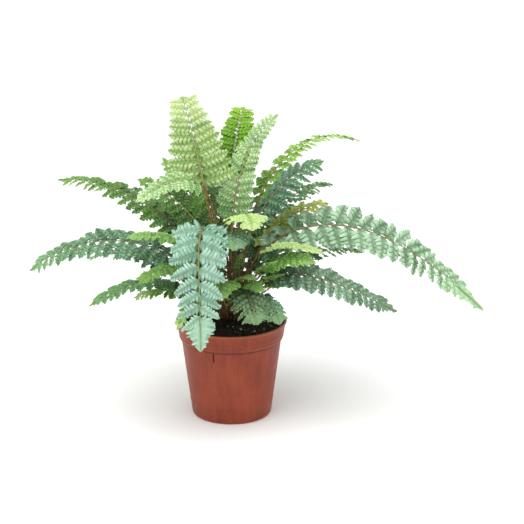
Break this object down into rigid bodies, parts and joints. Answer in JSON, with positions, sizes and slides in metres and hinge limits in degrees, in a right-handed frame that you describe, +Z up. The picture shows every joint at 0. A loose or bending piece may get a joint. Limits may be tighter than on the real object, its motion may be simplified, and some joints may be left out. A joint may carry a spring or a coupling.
{
  "type": "potted fern",
  "caption": "Shield fern with arching, drooping and upright toothed fronds, growing from a scaly crown in dark peat in a tapered terracotta-coloured nursery pot.",
  "frame": {"origin": "centre of the pot's underside, on the surface it stands on", "axes": "+Z up; -Y towards the front, where the drooping blue-green frond hangs over the rim; +X along the long arching frond"},
  "size_m": [0.4188, 0.2705, 0.3073],
  "materials": {
    "pot_plastic": "terracotta-coloured thin moulded polypropylene, satin, with peat dust under the rim",
    "peat": "damp black peat, lumpy, with a few pale fibres",
    "crown_scales": "brown papery scales on a fibrous rootstock",
    "mature_leaf": "leathery, bluish grey-green, slightly glossy above and paler below",
    "fresh_leaf": "thin, mid to yellow-green, satin",
    "young_leaf": "soft, pale lime green, satin"
  },
  "bodies": {
    "root": {"pot": "pot_plastic", "soil": "peat", "crown": "crown_scales", "frond_01": "fresh_leaf", "frond_02": "fresh_leaf", "frond_03": "fresh_leaf", "frond_04": "fresh_leaf", "frond_05": "fresh_leaf", "frond_06": "fresh_leaf", "frond_07": "fresh_leaf", "frond_08": "mature_leaf", "frond_09": "mature_leaf", "frond_10": "fresh_leaf", "frond_11": "fresh_leaf", "frond_12": "fresh_leaf", "frond_13": "mature_leaf", "frond_14": "mature_leaf", "frond_15": "mature_leaf", "frond_16": "mature_leaf", "frond_17": "mature_leaf", "frond_18": "mature_leaf", "frond_19": "mature_leaf", "frond_20": "mature_leaf", "frond_21": "mature_leaf", "frond_22": "mature_leaf", "frond_23": "mature_leaf", "frond_24": "mature_leaf", "frond_25": "fresh_leaf", "frond_26": "young_leaf", "frond_27": "mature_leaf", "frond_28": "mature_leaf", "frond_29": "mature_leaf", "frond_30": "mature_leaf", "frond_31": "mature_leaf", "frond_32": "mature_leaf", "frond_33": "mature_leaf", "frond_34": "young_leaf", "frond_35": "young_leaf", "frond_36": "young_leaf", "frond_37": "young_leaf"}
  },
  "joints": []
}
